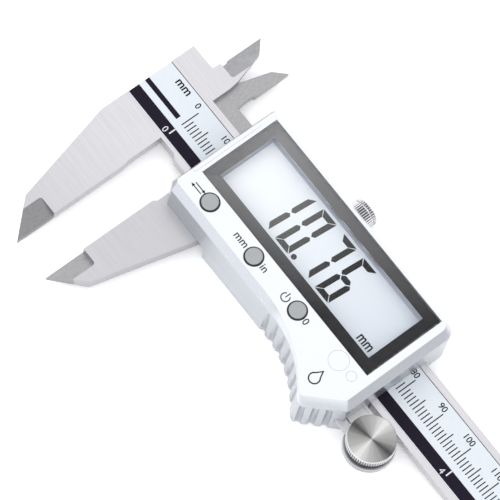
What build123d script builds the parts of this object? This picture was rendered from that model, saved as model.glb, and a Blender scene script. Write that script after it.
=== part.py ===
"""Digital caliper with a 150 mm measuring range, opened to 10.76 mm.

Every sub-part is drawn in the caliper's own datum frame: X = 0 is the fixed jaw's measuring face
and +X runs along the beam towards its tail, Y = 0 is the beam's centre line with +Y towards the
inside jaws, and Z = 0 is the beam's front face with +Z out of the display. The drawing planes
below put that datum where it belongs in the part's frame, whose origin is the bottom centre of
the whole caliper lying on its back.
"""

import os
from math import atan2, cos, degrees, pi, radians, sin

from build123d import *

# --- Driving dimensions, millimetres -------------------------------------------------------
OPENING = 10.76  # gap between the jaws, as the display reads
TRAVEL = 150.0  # full measuring range

BEAM_HALF = 8.0  # half the beam's width
BEAM_T = 3.5  # beam and jaw thickness
BEAM_END = 226.0
HEAD_LEFT = -13.9
JAW_TIP_Y = -48.6
INSIDE_TIP_Y = 27.15
STEP = 1.75  # where the two inside jaws part, half way through the thickness
BACK_Z = -5.4  # back of the slider, the plane the caliper lies on
FIT = 0.05  # running gap between sliding and turning pieces

ROD_END = BEAM_END + OPENING
ROD_W = 4.0
GROOVE_W = 4.2
GROOVE_DEPTH = 1.6

FACE_Z = 9.0  # front of the display case
SHOULDER_Z = 7.2  # where the case wall meets the bevel
CEILING_Z = 7.4  # inside of the case's front
CASE_LEFT = 11.5
CASE_RIGHT = 78.1
CASE_TOP = 15.8
WALL = 1.4
RAIL_TOP = 0.1  # front of the slider's rails
REAR_COVER_Z = -4.1  # inside of the rear cover

SCREW_R = 0.7
SCREW_HEAD_R = 1.25
SCREW_LENGTH = 8.0
RAIL_SCREWS = [(14.6, 12.9), (73.6, 12.6), (30.0, -10.2), (58.2, -10.2)]
REAR_SCREWS = [(33.0, -13.9), (46.0, -13.9), (60.2, -14.6)]

WINDOW = ((14.1, 74.3), (-7.5, 14.2))
SIGHT = ((17.0, 71.05), (-4.35, 11.4))  # clear opening over the display
LENS_Z = (8.2, 8.95)
BUTTONS = {"button_function": 21.0, "button_unit": 37.1, "button_zero": 53.0}
BUTTON_Y = -10.6
CAP_R = 2.05
CAP_Z = 9.5
PLUGS = [(67.7, -10.4, 2.45), (72.3, -10.4, 1.25)]

BATTERY_XY = (68.8, -14.2)
BATTERY_R = 5.8
BATTERY_Z = (REAR_COVER_Z, 1.3)
DOOR_R = 5.95
LUG_R = 6.4

LOCK_X = 41.4
KNOB_R = 3.5
KNOB_Y = (15.9, 21.0)
MID_Z = -BEAM_T / 2

WHEEL_XY = (85.57, -14.3)
WHEEL_R = -BEAM_HALF - FIT - WHEEL_XY[1]  # rolls on the beam's lower edge
WHEEL_Z = (-2.5, -0.7)
DISC_R = 5.65
DISC_Z = (1.45, 3.86)
STEM_R = 1.7
BRACKET_Z = (-0.6, 1.0)
BRACKET_Y = -17.3  # edge nearest the finger
BRACKET_SCREWS = [(75.7, -10.9), (75.7, -14.7)]

# --- The datum's place in the part's frame -------------------------------------------------
DATUM_X = -(HEAD_LEFT + ROD_END) / 2
DATUM_Y = -(JAW_TIP_Y + INSIDE_TIP_Y) / 2
DATUM_Z = -BACK_Z


def at(x, y, z):
    """Location of a datum point in the part's frame."""
    return Location((DATUM_X + x, DATUM_Y + y, DATUM_Z + z))


def level(z):
    """Drawing plane parallel to the beam's front face, at height z."""
    return Plane(origin=(DATUM_X, DATUM_Y, DATUM_Z + z))


def tilted(x, z, angle):
    """Drawing plane through the line (x, z) along Y, sloping down towards +X by angle."""
    turn = radians(angle)
    return Plane(
        origin=(DATUM_X + x, DATUM_Y, DATUM_Z + z),
        x_dir=(cos(turn), 0, -sin(turn)),
        z_dir=(sin(turn), 0, cos(turn)),
    )


def outline(points, plane):
    """Closed straight-sided face on a plane."""
    with BuildSketch(plane) as drawn:
        with BuildLine():
            Polyline(*points, close=True)
        make_face()
    return drawn.sketch


def block(x, y, z, mode=Mode.ADD):
    """Rectangular block between pairs of datum coordinates."""
    with Locations(at(sum(x) / 2, sum(y) / 2, sum(z) / 2)):
        Box(x[1] - x[0], y[1] - y[0], z[1] - z[0], mode=mode)


def post(centre, radius, z, mode=Mode.ADD):
    """Upright cylinder between two heights."""
    with Locations(at(centre[0], centre[1], z[0])):
        Cylinder(
            radius,
            z[1] - z[0],
            align=(Align.CENTER, Align.CENTER, Align.MIN),
            mode=mode,
        )


def bar_y(x, z, radius, y, mode=Mode.ADD):
    """Cylinder along Y between two datum values of y."""
    with Locations(at(x, sum(y) / 2, z)):
        Cylinder(radius, y[1] - y[0], rotation=(90, 0, 0), mode=mode)


def countersunk(centre, z, radius, head_r, length, mode=Mode.ADD):
    """Countersunk screw shape: a cone that narrows from height z upwards to a shank."""
    depth = head_r - radius
    with Locations(at(centre[0], centre[1], z + depth / 2)):
        Cone(head_r, radius, depth, mode=mode)
    post(centre, radius, (z + depth, z + length), mode=mode)


os.makedirs("parts", exist_ok=True)

# --- Beam with the fixed jaws --------------------------------------------------------------
HEAD_TOP = 12.9
BEAM_OUTLINE = [
    (HEAD_LEFT, HEAD_TOP),
    (HEAD_LEFT, -14.0),
    (-7.3, -40.8),
    (0.0, JAW_TIP_Y),
    (0.0, -18.2),
    (-0.35, -16.6),
    (-0.35, -7.2),
    (4.4, -7.2),
    (5.8, -BEAM_HALF),
    (BEAM_END, -BEAM_HALF),
    (BEAM_END, BEAM_HALF),
    (-0.5, BEAM_HALF),
    (-0.5, HEAD_TOP),
]
INSIDE_EDGE = -6.65  # fixed inside jaw's measuring edge
INSIDE_BLADE = [
    (-6.2, 15.1),
    (-0.8, 15.5),
    (-3.3, 24.0),
    (INSIDE_EDGE, INSIDE_TIP_Y),
    (INSIDE_EDGE, 17.2),
    (-6.2, 16.6),
]
LABEL_Y = (-6.5, 6.35)
LABEL_DEPTH = 0.5
KNIFE_LEFT = -5.0
KNIFE_TOP = -38.2
KNIFE_DEPTH = 1.8
STOP_SCREWS = [(222.25, -5.4), (222.25, 5.4)]
STOP_X = (218.5, BEAM_END)

with BuildPart() as main_beam:
    extrude(outline(BEAM_OUTLINE, level(-BEAM_T)), amount=BEAM_T)
    extrude(
        outline([(-6.8, 12.0), (-0.5, 12.0), (-0.5, 13.0), (-0.8, 15.5), (-6.8, 15.1)], level(-BEAM_T)),
        amount=BEAM_T,
    )
    extrude(outline(INSIDE_BLADE, level(-BEAM_T)), amount=BEAM_T)
    # the moving inside jaw passes behind the fixed one
    block((-12.5, 0.5), (BEAM_HALF, 28.0), (-BEAM_T - 1, -STEP), mode=Mode.SUBTRACT)
    # label recess along the whole front
    block((HEAD_LEFT - 1, BEAM_END + 1), LABEL_Y, (-LABEL_DEPTH, 1.0), mode=Mode.SUBTRACT)
    # groove for the depth rod along the back
    block(
        (45.0, BEAM_END + 1),
        (-GROOVE_W / 2, GROOVE_W / 2),
        (-BEAM_T - 1, -BEAM_T + GROOVE_DEPTH),
        mode=Mode.SUBTRACT,
    )
    # hollow-ground knife on the outside jaw: a slope that deepens towards the measuring face
    knife_angle = degrees(atan2(KNIFE_DEPTH, -KNIFE_LEFT))
    with BuildSketch(tilted(KNIFE_LEFT, 0, knife_angle)) as knife:
        with Locations((3.5, KNIFE_TOP - 6.0)):
            Rectangle(7.0, 12.0)
        fillet(knife.vertices().group_by(Axis.X)[0].sort_by(Axis.Y)[-1], 0.8)
    extrude(knife.sketch, amount=4, mode=Mode.SUBTRACT)
    # bevel ground on the inside jaw, deepening towards its measuring edge
    with BuildSketch(tilted(-2.2, 0, -14.0)) as bevel:
        with Locations((-3.5, 15.2 + 7.0)):
            Rectangle(7.0, 14.0)
        fillet(bevel.vertices().group_by(Axis.X)[-1].sort_by(Axis.Y)[0], 0.8)
    extrude(bevel.sketch, amount=4, mode=Mode.SUBTRACT)
    for spot in STOP_SCREWS:
        post(spot, SCREW_R, (-BEAM_T - 1, -LABEL_DEPTH - 0.6), mode=Mode.SUBTRACT)
main_beam.part.label = "main_beam"
export_step(main_beam.part, "parts/main_beam.step")

with BuildPart() as scale_plate:
    block((HEAD_LEFT + 0.1, BEAM_END - 0.1), (LABEL_Y[0] + FIT, LABEL_Y[1] - FIT), (-0.5, -0.2))
scale_plate.part.label = "scale_plate"
export_step(scale_plate.part, "parts/scale_plate.step")

with BuildPart() as scale_label:
    block((HEAD_LEFT + 0.1, BEAM_END - 0.1), (LABEL_Y[0] + FIT, LABEL_Y[1] - FIT), (-0.2, -0.06))
scale_label.part.label = "scale_label"
export_step(scale_label.part, "parts/scale_label.step")

with BuildPart() as end_stop:
    block(STOP_X, (-7.6, 7.6), (BACK_Z, -BEAM_T))
    for spot in STOP_SCREWS:
        countersunk(spot, BACK_Z, SCREW_R + 0.05, SCREW_HEAD_R + 0.05, 3.0, mode=Mode.SUBTRACT)
end_stop.part.label = "end_stop"
export_step(end_stop.part, "parts/end_stop.step")

with BuildPart() as end_stop_screws:
    for spot in STOP_SCREWS:
        countersunk(spot, BACK_Z, SCREW_R - 0.02, SCREW_HEAD_R, 3.8)
        block(
            (spot[0] - SCREW_HEAD_R, spot[0] + SCREW_HEAD_R),
            (spot[1] - 0.15, spot[1] + 0.15),
            (BACK_Z - 0.1, BACK_Z + 0.3),
            mode=Mode.SUBTRACT,
        )
end_stop_screws.part.label = "end_stop_screws"
export_step(end_stop_screws.part, "parts/end_stop_screws.step")

# --- Slider with the moving jaws -----------------------------------------------------------
FRAME_LEFT = 12.95
FRAME_RIGHT = 76.5
FRAME_Y = (-12.0, 14.3)
GIB_Y = (BEAM_HALF + FIT, BEAM_HALF + 0.85)
POCKET_X = 61.0  # the battery compartment starts here
POCKET_Y = -7.55
GIB_SCREWS = [22.0, 62.0]
ROD_FOOT = (60.0, 70.0)
CLAMP_X = (56.0, 74.0)
CLAMP_SCREWS = [(58.0, 0.0), (72.0, 0.0)]
CLAMP_T = 0.8
OUTSIDE_JAW = [
    (11.4, -BEAM_HALF - FIT),
    (11.4, -17.3),
    (OPENING, -18.2),
    (OPENING, JAW_TIP_Y),
    (18.0, -41.7),
    (24.3, -16.5),
    (26.4, -BEAM_HALF - FIT),
]
INSIDE_JAW = [
    (-1.0, BEAM_HALF + FIT),
    (FRAME_LEFT + 0.5, BEAM_HALF + FIT),
    (FRAME_LEFT + 0.5, 12.2),
    (3.9, 12.2),
    (3.6, 14.1),
    (3.6, 16.6),
    (OPENING + INSIDE_EDGE, 17.2),
    (OPENING + INSIDE_EDGE, INSIDE_TIP_Y),
    (1.3, 24.1),
    (-1.0, 16.1),
]

with BuildPart() as slider_frame:
    block((FRAME_LEFT, FRAME_RIGHT), FRAME_Y, (BACK_Z, -BEAM_T - FIT))
    block((FRAME_RIGHT - 1, CASE_RIGHT), (-8.0, 8.0), (BACK_Z, -BEAM_T - FIT))
    block((FRAME_LEFT, POCKET_X), (FRAME_Y[0], -BEAM_HALF - FIT), (BACK_Z, RAIL_TOP))
    block((FRAME_LEFT, FRAME_RIGHT), (GIB_Y[1] + FIT, FRAME_Y[1]), (BACK_Z, RAIL_TOP))
    block((POCKET_X, CASE_RIGHT), (FRAME_Y[0] - 1, POCKET_Y), (BACK_Z - 1, 1), mode=Mode.SUBTRACT)
    post(BATTERY_XY, LUG_R + 0.1, (BACK_Z - 1, -BEAM_T), mode=Mode.SUBTRACT)
    # the upper right corner clears the case's rounded one
    corner = [(74.6, FRAME_Y[1] + 0.1), (FRAME_RIGHT + 0.1, 12.4), (FRAME_RIGHT + 0.1, FRAME_Y[1] + 0.1)]
    extrude(outline(corner, level(BACK_Z - 1)), amount=8, mode=Mode.SUBTRACT)
    extrude(outline(OUTSIDE_JAW, level(-BEAM_T)), amount=BEAM_T)
    extrude(outline(INSIDE_JAW, level(-BEAM_T + FIT)), amount=BEAM_T - STEP - 2 * FIT)
    # knife recess on the front of the outside jaw
    with BuildSketch(tilted(15.4, -1.8, -7.0)) as hollow:
        with Locations((-3.5, -38.0 - 6.0)):
            Rectangle(7.0, 12.0)
        fillet(hollow.vertices().group_by(Axis.X)[-1].sort_by(Axis.Y)[-1], 0.8)
    extrude(hollow.sketch, amount=4, mode=Mode.SUBTRACT)
    # window in the back for the depth rod's foot, and the pocket for its clamp
    block(ROD_FOOT, (-ROD_W / 2 - FIT, ROD_W / 2 + FIT), (BACK_Z - 1, -BEAM_T + 1), mode=Mode.SUBTRACT)
    block(CLAMP_X, (-5.0, 5.0), (BACK_Z - 1, BACK_Z + CLAMP_T), mode=Mode.SUBTRACT)
    for spot in CLAMP_SCREWS:
        post(spot, SCREW_R, (BACK_Z, -BEAM_T), mode=Mode.SUBTRACT)
    for x in GIB_SCREWS:
        bar_y(x, MID_Z, 1.02, (GIB_Y[1], FRAME_Y[1] + 1), mode=Mode.SUBTRACT)
    bar_y(LOCK_X, MID_Z, 1.3, (GIB_Y[1], FRAME_Y[1] + 1), mode=Mode.SUBTRACT)
    for spot in RAIL_SCREWS:
        countersunk(spot, BACK_Z, SCREW_R + 0.1, SCREW_HEAD_R + 0.1, 6.5, mode=Mode.SUBTRACT)
slider_frame.part.label = "slider_frame"
export_step(slider_frame.part, "parts/slider_frame.step")

with BuildPart() as gib_strip:
    block((14.0, 76.0), GIB_Y, (-BEAM_T + 0.1, -0.1))
    bar_y(LOCK_X, MID_Z, 1.3, (GIB_Y[0] - 1, GIB_Y[1] + 1), mode=Mode.SUBTRACT)
gib_strip.part.label = "gib_strip"
export_step(gib_strip.part, "parts/gib_strip.step")

with BuildPart() as gib_screws:
    for x in GIB_SCREWS:
        bar_y(x, MID_Z, 1.0, (GIB_Y[1], FRAME_Y[1] - 0.3))
        block((x - 1, x + 1), (FRAME_Y[1] - 0.9, FRAME_Y[1]), (MID_Z - 0.2, MID_Z + 0.2), mode=Mode.SUBTRACT)
gib_screws.part.label = "gib_screws"
export_step(gib_screws.part, "parts/gib_screws.step")

# --- Depth rod -----------------------------------------------------------------------------
ROD_Z = (-BEAM_T + FIT, -BEAM_T + GROOVE_DEPTH - 0.15)
with BuildPart() as depth_rod:
    block((ROD_FOOT[0] + 0.05, ROD_END), (-ROD_W / 2, ROD_W / 2), ROD_Z)
    block(
        (ROD_FOOT[0] + 0.05, ROD_FOOT[1] - 0.05),
        (-ROD_W / 2, ROD_W / 2),
        (BACK_Z + CLAMP_T, ROD_Z[1]),
    )
    # stepped tip that clears a fillet at the bottom of a hole
    block((ROD_END - 3.0, ROD_END + 1), (0.6, 3.0), (-BEAM_T - 1, 0), mode=Mode.SUBTRACT)
depth_rod.part.label = "depth_rod"
export_step(depth_rod.part, "parts/depth_rod.step")

with BuildPart() as rod_clamp:
    block((CLAMP_X[0] + 0.05, CLAMP_X[1] - 0.05), (-4.95, 4.95), (BACK_Z, BACK_Z + CLAMP_T))
    for spot in CLAMP_SCREWS:
        countersunk(spot, BACK_Z, SCREW_R, SCREW_HEAD_R + 0.02, 2.0, mode=Mode.SUBTRACT)
rod_clamp.part.label = "rod_clamp"
export_step(rod_clamp.part, "parts/rod_clamp.step")

with BuildPart() as rod_clamp_screws:
    for spot in CLAMP_SCREWS:
        countersunk(spot, BACK_Z, SCREW_R - 0.02, SCREW_HEAD_R, 1.8)
        block(
            (spot[0] - SCREW_HEAD_R, spot[0] + SCREW_HEAD_R),
            (spot[1] - 0.15, spot[1] + 0.15),
            (BACK_Z - 0.1, BACK_Z + 0.3),
            mode=Mode.SUBTRACT,
        )
rod_clamp_screws.part.label = "rod_clamp_screws"
export_step(rod_clamp_screws.part, "parts/rod_clamp_screws.step")

# --- Display case --------------------------------------------------------------------------
LOBE_SLOPE = 45.45  # angle of the lobe's right flank


def case_outline(left, right, top, floor, nip, curve, lobe, tip, heel, tip_r, ear_r):
    """The case's outline: a finger rest curves down to a lobe at the lower right.

    nip is the lower left corner's chamfer, curve the x where the finger rest starts, lobe the
    point where it ends, tip the lobe's sharp corner before rounding, heel the y where the right
    edge starts, tip_r and ear_r the roundings of the lobe and of the upper right corner.
    """
    with BuildSketch() as drawn:
        with BuildLine():
            Polyline((left, top), (left, floor + nip), (left + nip, floor), (curve, floor))
            TangentArc((curve, floor), lobe, tangent=(1, 0))
            Polyline(lobe, tip, (right, heel), (right, top), (left, top))
        make_face()
        fillet(drawn.vertices().sort_by_distance((tip[0], tip[1], 0))[0], tip_r)
        fillet(drawn.vertices().sort_by_distance((right, heel, 0))[0], 0.8)
        fillet(drawn.vertices().sort_by_distance((right, top, 0))[0], ear_r)
        fillet(drawn.vertices().sort_by_distance((left, top, 0))[0], 0.6)
    return drawn.sketch


FOOT = dict(
    left=CASE_LEFT, right=CASE_RIGHT, top=CASE_TOP, floor=-15.95, nip=1.8, curve=50.0,
    lobe=(67.1, -21.95), tip=(69.93, -24.19), heel=-15.89, tip_r=1.8, ear_r=2.9,
)  # fmt: skip
SHOULDER = dict(
    left=CASE_LEFT, right=CASE_RIGHT, top=CASE_TOP, floor=-15.36, nip=1.6, curve=50.0,
    lobe=(67.3, -21.75), tip=(69.88, -23.96), heel=-15.6, tip_r=1.6, ear_r=2.8,
)  # fmt: skip
FACE = dict(
    left=12.2, right=76.2, top=14.9, floor=-13.6, nip=0.6, curve=45.0,
    lobe=(67.8, -21.85), tip=(68.75, -22.65), heel=-14.8, tip_r=1.0, ear_r=2.0,
)  # fmt: skip

# flutes for the finger, spaced along the finger rest and up the lobe's right flank
FLUTE_PITCH = 3.1
FLUTE_R = 0.9
FLUTE_OUT = 0.3
rest_run = FOOT["lobe"][0] - FOOT["curve"]
rest_drop = FOOT["floor"] - FOOT["lobe"][1]
rest_r = (rest_run**2 + rest_drop**2) / (2 * rest_drop)
flutes = []
for count in range(7):
    along = (-0.7 + FLUTE_PITCH * count) / rest_r
    if along < 0:
        flutes.append((FOOT["curve"] + along * rest_r, FOOT["floor"] - FLUTE_OUT))
    else:
        reach = rest_r - FLUTE_OUT
        flutes.append((FOOT["curve"] + reach * sin(along), FOOT["floor"] - rest_r + reach * cos(along)))
flank = radians(LOBE_SLOPE)
for count in range(3):
    along = 1.55 + FLUTE_PITCH * count
    flutes.append(
        (
            FOOT["tip"][0] + along * cos(flank) + FLUTE_OUT * sin(flank),
            FOOT["tip"][1] + along * sin(flank) - FLUTE_OUT * cos(flank),
        )
    )


def place(sketch, plane):
    """A flat sketch's face, moved onto a drawing plane."""
    return plane.from_local_coords(sketch.faces()[0])


REAR_ZONE = [
    (26.9, -30.0), (90.0, -30.0), (90.0, POCKET_Y), (POCKET_X + 0.05, POCKET_Y),
    (POCKET_X + 0.05, FRAME_Y[0] - FIT), (26.9, FRAME_Y[0] - FIT),
]  # fmt: skip
foot_face = case_outline(**FOOT)
shoulder_face = case_outline(**SHOULDER)
top_face = case_outline(**FACE)
with BuildSketch() as cavity_sketch:
    add(foot_face)
    offset(amount=-WALL, kind=Kind.INTERSECTION)
cavity = cavity_sketch.sketch

with BuildPart() as front_cover:
    extrude(place(foot_face, level(BACK_Z)), amount=-BACK_Z)
    loft([place(foot_face, level(0)), place(shoulder_face, level(SHOULDER_Z))], ruled=True)
    loft([place(shoulder_face, level(SHOULDER_Z)), place(top_face, level(FACE_Z))], ruled=True)
    # small bump on the upper wall, over the data contacts
    block((66.0, 72.0), (CASE_TOP - 1.0, CASE_TOP + 0.3), (0.5, 5.5))
    extrude(place(cavity, level(BACK_Z - 1)), amount=CEILING_Z - BACK_Z + 1, mode=Mode.SUBTRACT)
    for spot in flutes:
        post(spot, FLUTE_R, (BACK_Z - 1, 6.3), mode=Mode.SUBTRACT)
    # room for the rear cover, the jaws and the beam
    extrude(outline(REAR_ZONE, level(BACK_Z - 1)), amount=REAR_COVER_Z - BACK_Z + 1, mode=Mode.SUBTRACT)
    block((CASE_LEFT - 1, 26.9), (-17.0, -7.0), (BACK_Z - 1, 0.05), mode=Mode.SUBTRACT)
    block((CASE_LEFT - 1, FRAME_LEFT), (-8.3, 13.0), (BACK_Z - 1, 0.12), mode=Mode.SUBTRACT)
    block((CASE_RIGHT - 3, CASE_RIGHT + 1), (-8.25, 8.25), (BACK_Z - 1, 0.12), mode=Mode.SUBTRACT)
    block(
        (74.6, CASE_RIGHT + 1),
        (BRACKET_Y - 0.1, -9.4),
        (BRACKET_Z[0] - FIT, BRACKET_Z[1] + FIT),
        mode=Mode.SUBTRACT,
    )
    bar_y(LOCK_X, MID_Z, 1.5, (CASE_TOP - 3, CASE_TOP + 1), mode=Mode.SUBTRACT)
    # shallow seat that lets the lock knob screw in
    bar_y(LOCK_X, MID_Z, KNOB_R + 0.1, (CASE_TOP - 0.2, CASE_TOP + 1), mode=Mode.SUBTRACT)
    # screw posts
    for spot in RAIL_SCREWS:
        post(spot, 1.3, (RAIL_TOP, CEILING_Z + 0.1))
    for spot in REAR_SCREWS:
        post(spot, 1.3, (REAR_COVER_Z, CEILING_Z + 0.1))
    for spot in BRACKET_SCREWS:
        post(spot, 1.1, (BRACKET_Z[1] + FIT, CEILING_Z + 0.1))
        post(spot, 0.6, (BRACKET_Z[1], BRACKET_Z[1] + 3.2), mode=Mode.SUBTRACT)
    for spot in RAIL_SCREWS + REAR_SCREWS:
        post(spot, SCREW_R, (BACK_Z, BACK_Z + SCREW_LENGTH + 0.2), mode=Mode.SUBTRACT)
    # window seat, sight opening, button holes and plug seats
    block(*WINDOW, (LENS_Z[0] - 0.1, FACE_Z + 1), mode=Mode.SUBTRACT)
    block(*SIGHT, (CEILING_Z - 1, FACE_Z), mode=Mode.SUBTRACT)
    for x in BUTTONS.values():
        post((x, BUTTON_Y), CAP_R + FIT, (CEILING_Z - 1, FACE_Z + 1), mode=Mode.SUBTRACT)
        post((x, BUTTON_Y), CAP_R + 0.3, (FACE_Z - 0.9, FACE_Z + 1), mode=Mode.SUBTRACT)
    for x, y, radius in PLUGS:
        post((x, y), radius, (FACE_Z - 0.8, FACE_Z + 1), mode=Mode.SUBTRACT)
    # rolled lip at the mouth
    with BuildSketch(level(FACE_Z - 0.1)) as lip:
        with Locations((12.75, 1.05)):
            SlotOverall(19.7, 0.8, rotation=90)
    extrude(lip.sketch, amount=0.3)
front_cover.part.label = "front_cover"
export_step(front_cover.part, "parts/front_cover.step")

with BuildPart() as rear_cover:
    extrude(place(foot_face, level(BACK_Z)), amount=REAR_COVER_Z - BACK_Z - 0.02)
    extrude(outline(REAR_ZONE, level(BACK_Z - 1)), amount=6, mode=Mode.INTERSECT)
    for spot in flutes:
        post(spot, FLUTE_R, (BACK_Z - 1, 0), mode=Mode.SUBTRACT)
    post(BATTERY_XY, DOOR_R + FIT, (BACK_Z - 1, 0), mode=Mode.SUBTRACT)
    post(BATTERY_XY, LUG_R + 0.1, (BACK_Z + 0.8, 0), mode=Mode.SUBTRACT)
    # entry slots for the battery cover's lugs, a quarter turn from where they lock
    block(
        (BATTERY_XY[0] - 1.7, BATTERY_XY[0] + 1.7),
        (BATTERY_XY[1] - LUG_R - 0.1, BATTERY_XY[1]),
        (BACK_Z - 1, 0),
        mode=Mode.SUBTRACT,
    )
    for spot in REAR_SCREWS:
        countersunk(spot, BACK_Z, SCREW_R + 0.05, SCREW_HEAD_R + 0.05, 3, mode=Mode.SUBTRACT)
rear_cover.part.label = "rear_cover"
export_step(rear_cover.part, "parts/rear_cover.step")

with BuildPart() as case_screws:
    for spot in RAIL_SCREWS + REAR_SCREWS:
        countersunk(spot, BACK_Z, SCREW_R - 0.02, SCREW_HEAD_R, SCREW_LENGTH)
        block(
            (spot[0] - SCREW_HEAD_R, spot[0] + SCREW_HEAD_R),
            (spot[1] - 0.15, spot[1] + 0.15),
            (BACK_Z - 0.1, BACK_Z + 0.3),
            mode=Mode.SUBTRACT,
        )
case_screws.part.label = "case_screws"
export_step(case_screws.part, "parts/case_screws.step")

# --- Window and display --------------------------------------------------------------------
LENS_GAP = 0.05
LENS_X = (WINDOW[0][0] + LENS_GAP, WINDOW[0][1] - LENS_GAP)
LENS_Y = (WINDOW[1][0] + LENS_GAP, WINDOW[1][1] - LENS_GAP)
with BuildPart() as window_lens:
    block(LENS_X, LENS_Y, LENS_Z)
    fillet(window_lens.edges().filter_by(Axis.Z), 0.5)
window_lens.part.label = "window_lens"
export_step(window_lens.part, "parts/window_lens.step")

with BuildPart() as window_mask:
    block(LENS_X, LENS_Y, (LENS_Z[0] - 0.1, LENS_Z[0]))
    fillet(window_mask.edges().filter_by(Axis.Z), 0.5)
    block(*SIGHT, (LENS_Z[0] - 1, LENS_Z[0] + 1), mode=Mode.SUBTRACT)
window_mask.part.label = "window_mask"
export_step(window_mask.part, "parts/window_mask.step")

BEZEL_X = (16.0, 72.05)
BEZEL_Y = (-5.4, 12.35)
SEAL_Z = (7.15, CEILING_Z)
LCD_Z = (3.4, 5.0)
with BuildPart() as display_seal:
    block(BEZEL_X, BEZEL_Y, SEAL_Z)
    block(*SIGHT, (0, FACE_Z), mode=Mode.SUBTRACT)
display_seal.part.label = "display_seal"
export_step(display_seal.part, "parts/display_seal.step")

with BuildPart() as lcd_bezel:
    block(BEZEL_X, BEZEL_Y, (LCD_Z[1], SEAL_Z[0]))
    block(*SIGHT, (0, FACE_Z), mode=Mode.SUBTRACT)
lcd_bezel.part.label = "lcd_bezel"
export_step(lcd_bezel.part, "parts/lcd_bezel.step")

with BuildPart() as lcd_panel:
    block((16.4, 71.65), (-5.0, 12.0), LCD_Z)
lcd_panel.part.label = "lcd_panel"
export_step(lcd_panel.part, "parts/lcd_panel.step")

BOARD_Z = (1.6, 2.6)
with BuildPart() as lcd_connectors:
    for y in (-4.3, 11.3):
        block((17.5, 70.5), (y - 0.6, y + 0.6), (BOARD_Z[1], LCD_Z[0]))
        fillet(lcd_connectors.edges().filter_by(Axis.X).sort_by(Axis.Y)[-4:], 0.15)
lcd_connectors.part.label = "lcd_connectors"
export_step(lcd_connectors.part, "parts/lcd_connectors.step")

# --- Electronics ---------------------------------------------------------------------------
BOARD = [(13.3, -12.4), (60.6, -12.4), (60.6, -8.0), (76.3, -8.0), (76.3, 10.9), (13.3, 10.9)]
with BuildPart() as circuit_board:
    extrude(outline(BOARD, level(BOARD_Z[0])), amount=BOARD_Z[1] - BOARD_Z[0])
    for spot in RAIL_SCREWS[2:] + [REAR_SCREWS[0], REAR_SCREWS[1]]:
        post(spot, 1.6, (0, 4), mode=Mode.SUBTRACT)
circuit_board.part.label = "circuit_board"
export_step(circuit_board.part, "parts/circuit_board.step")

SENSOR_X = (17.0, 62.0)
with BuildPart() as base_plate:
    plate = [
        (13.1, -12.3), (60.6, -12.3), (60.6, -8.3), (76.4, -8.3), (76.4, 11.4),
        (13.1, 11.4),
    ]  # fmt: skip
    extrude(outline(plate, level(RAIL_TOP)), amount=0.9)
    block((SENSOR_X[0] - 0.1, SENSOR_X[1] + 0.1), (-7.6, 7.6), (0, 2), mode=Mode.SUBTRACT)
    for spot in RAIL_SCREWS:
        post(spot, 1.45, (0, 2), mode=Mode.SUBTRACT)
base_plate.part.label = "base_plate"
export_step(base_plate.part, "parts/base_plate.step")

with BuildPart() as sensor_board:
    block(SENSOR_X, (-7.5, 7.5), (0.2, 1.0))
sensor_board.part.label = "sensor_board"
export_step(sensor_board.part, "parts/sensor_board.step")

with BuildPart() as board_connector:
    block((20.0, 34.0), (3.4, 5.6), (1.0, BOARD_Z[0]))
board_connector.part.label = "board_connector"
export_step(board_connector.part, "parts/board_connector.step")

with BuildPart() as sensor_chip:
    block((40.0, 46.0), (0.0, 6.0), (BOARD_Z[1], BOARD_Z[1] + 0.6))
sensor_chip.part.label = "sensor_chip"
export_step(sensor_chip.part, "parts/sensor_chip.step")

SWITCH_TOP = 4.4
with BuildPart() as tact_switches:
    for x in BUTTONS.values():
        block((x - 1.7, x + 1.7), (BUTTON_Y - 1.7, BUTTON_Y + 1.7), (BOARD_Z[1], SWITCH_TOP))
        post((x, BUTTON_Y), 0.8, (SWITCH_TOP, SWITCH_TOP + 0.45))
tact_switches.part.label = "tact_switches"
export_step(tact_switches.part, "parts/tact_switches.step")

with BuildPart() as button_pad:
    block((17.2, 56.6), (-13.2, -8.0), (4.9, 5.3))
    for spot in [RAIL_SCREWS[2], REAR_SCREWS[0], REAR_SCREWS[1]]:
        post(spot, 1.5, (4, 6), mode=Mode.SUBTRACT)
button_pad.part.label = "button_pad"
export_step(button_pad.part, "parts/button_pad.step")

with BuildPart() as button_seals:
    for x in BUTTONS.values():
        post((x, BUTTON_Y), CAP_R + 0.28, (FACE_Z - 0.88, FACE_Z - 0.1))
        post((x, BUTTON_Y), CAP_R + 0.06, (FACE_Z - 2, FACE_Z + 1), mode=Mode.SUBTRACT)
button_seals.part.label = "button_seals"
export_step(button_seals.part, "parts/button_seals.step")

for name, x in BUTTONS.items():
    with BuildPart() as button:
        post((x, BUTTON_Y), CAP_R, (6.4, CAP_Z))
        rim = button.edges().filter_by(GeomType.CIRCLE).sort_by(Axis.Z)[-1]
        fillet(rim, 0.15)
        post((x, BUTTON_Y), 2.9, (6.4, 7.3))
        post((x, BUTTON_Y), 0.9, (5.75, 6.4))
    button.part.label = name
    export_step(button.part, f"parts/{name}.step")

with BuildPart() as port_plugs:
    for x, y, radius in PLUGS:
        post((x, y), radius - 0.05, (FACE_Z - 0.8, FACE_Z - 0.02))
port_plugs.part.label = "port_plugs"
export_step(port_plugs.part, "parts/port_plugs.step")

# --- Battery -------------------------------------------------------------------------------
with BuildPart() as battery:
    post(BATTERY_XY, BATTERY_R - 0.1, BATTERY_Z)
    fillet(battery.edges().filter_by(GeomType.CIRCLE), 0.4)
battery.part.label = "battery"
export_step(battery.part, "parts/battery.step")

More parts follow.
